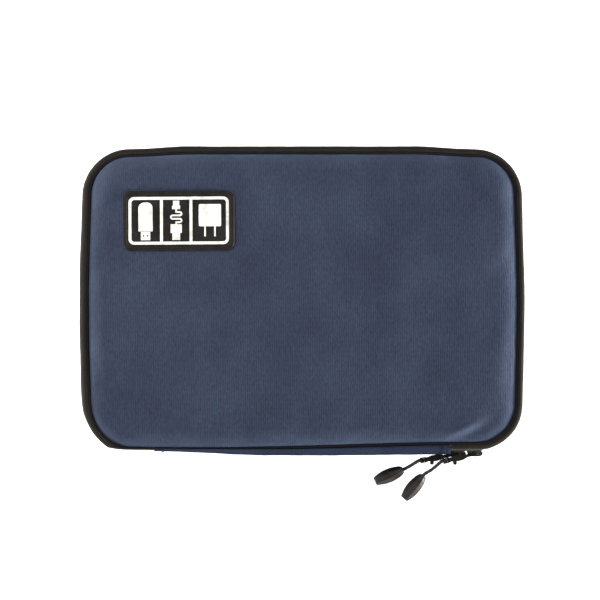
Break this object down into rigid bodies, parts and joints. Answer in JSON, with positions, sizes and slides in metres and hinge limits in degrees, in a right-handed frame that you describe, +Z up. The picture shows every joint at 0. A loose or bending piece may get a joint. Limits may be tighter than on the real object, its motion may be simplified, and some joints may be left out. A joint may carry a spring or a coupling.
{
  "type": "cable organizer pouch",
  "caption": "Padded zipped pouch for cables: hinged lid, elastic loops in the base, mesh pocket in the lid, zipper sliders with cord pulls and a moulded badge.",
  "frame": {"origin": "middle of the outline on the flat underside of the closed pouch", "axes": "+Z up out of the lid's padded face, +X along the long side, +Y away from the fabric spine"},
  "size_m": [0.244, 0.1968, 0.0318],
  "materials": {
    "navy_fabric": "fine ribbed polyester with a soft sheen",
    "foam": "closed-cell foam board",
    "stiffener": "thin board",
    "lining": "plain woven lining",
    "piping": "rolled piping, very dark",
    "gusset_fabric": "brownish black twill tape",
    "binding": "grosgrain binding",
    "zipper_tape": "woven zipper tape",
    "zipper_teeth": "moulded nylon coil",
    "slider_metal": "black painted die casting, lightly worn",
    "pull_plastic": "matt black moulding",
    "cord": "braided cord",
    "grip_rubber": "satin moulded grip",
    "elastic": "ribbed elastic webbing",
    "thread": "polyester thread",
    "badge_rubber": "soft moulded badge",
    "badge_ink": "raised white print",
    "mesh": "open net"
  },
  "bodies": {
    "base": {"back_panel": "navy_fabric", "back_foam": "foam", "back_lining": "lining", "back_piping": "piping", "back_gusset": "gusset_fabric", "back_binding": "binding", "base_zipper_tape": "zipper_tape", "base_zipper_teeth": "zipper_teeth", "zipper_end_stops": "slider_metal", "spine_panel": "navy_fabric", "spine_stiffener": "stiffener", "spine_lining": "lining", "elastic_row_front": "elastic", "elastic_row_middle": "elastic", "elastic_row_rear": "elastic", "strap_stitches": "thread"},
    "lid": {"front_panel": "navy_fabric", "front_foam": "foam", "front_lining": "lining", "front_piping": "piping", "front_gusset": "gusset_fabric", "front_binding": "binding", "spine_flap": "navy_fabric", "lid_zipper_tape": "zipper_tape", "lid_zipper_teeth": "zipper_teeth", "badge_base": "badge_rubber", "badge_print": "badge_ink", "badge_stitches": "thread", "mesh_pocket": "mesh", "pocket_binding": "binding", "pocket_zipper_tape": "zipper_tape", "pocket_zipper_teeth": "zipper_teeth", "pocket_end_stops": "slider_metal"},
    "slider_a_body": {"slider_a": "slider_metal"},
    "slider_b_body": {"slider_b": "slider_metal"},
    "pull_a_body": {"pull_a": "pull_plastic"},
    "pull_b_body": {"pull_b": "pull_plastic"},
    "cord_a_body": {"cord_a": "cord", "grip_a": "grip_rubber"},
    "cord_b_body": {"cord_b": "cord", "grip_b": "grip_rubber"},
    "pocket_slider_body": {"pocket_slider": "slider_metal"},
    "pocket_pull_body": {"pocket_pull": "slider_metal"}
  },
  "joints": [
    {"name": "lid_open", "type": "hinge", "parent": "base", "child": "lid", "pos_m": [0, -0.0855, 0.0255], "axis": [1, 0, 0], "range_deg": [0, 180]},
    {"name": "slider_b_travel", "type": "hinge", "parent": "base", "child": "slider_b_body", "pos_m": [0.097, -0.059, 0.015], "axis": [0, 0, 1], "range_deg": [0, 80]},
    {"name": "slider_a_travel", "type": "slide", "parent": "base", "child": "slider_a_body", "axis": [1, 0, 0], "range_m": [0, 0.005]},
    {"name": "pull_b_flip", "type": "hinge", "parent": "slider_b_body", "child": "pull_b_body", "pos_m": [0.097, -0.086, 0.015], "axis": [0, 0, 1], "range_deg": [0, 120]},
    {"name": "pull_a_flip", "type": "hinge", "parent": "slider_a_body", "child": "pull_a_body", "pos_m": [0.0876, -0.086, 0.015], "axis": [0, 0, 1], "range_deg": [0, 120]},
    {"name": "cord_a_lift", "type": "hinge", "parent": "pull_a_body", "child": "cord_a_body", "pos_m": [0.06751, -0.08954, 0.015], "axis": [0.1736, -0.9848, 0], "range_deg": [-100, 0]},
    {"name": "cord_b_lift", "type": "hinge", "parent": "pull_b_body", "child": "cord_b_body", "pos_m": [0.08005, -0.08991, 0.01875], "axis": [0.225, -0.9744, 0], "range_deg": [-100, 0]},
    {"name": "pocket_slider_travel", "type": "slide", "parent": "lid", "child": "pocket_slider_body", "axis": [-1, 0, 0], "range_m": [0, 0.17]},
    {"name": "pocket_pull_flip", "type": "hinge", "parent": "pocket_slider_body", "child": "pocket_pull_body", "pos_m": [0.085, 0.052, 0.0207], "axis": [0, -1, 0], "range_deg": [0, 180]}
  ],
  "couplings": [
    {"joint": "slider_a_travel", "follows": "slider_b_travel", "m_per_rad": 0.0035},
    {"joint": "pull_a_flip", "follows": "pull_b_flip", "ratio": 1}
  ]
}
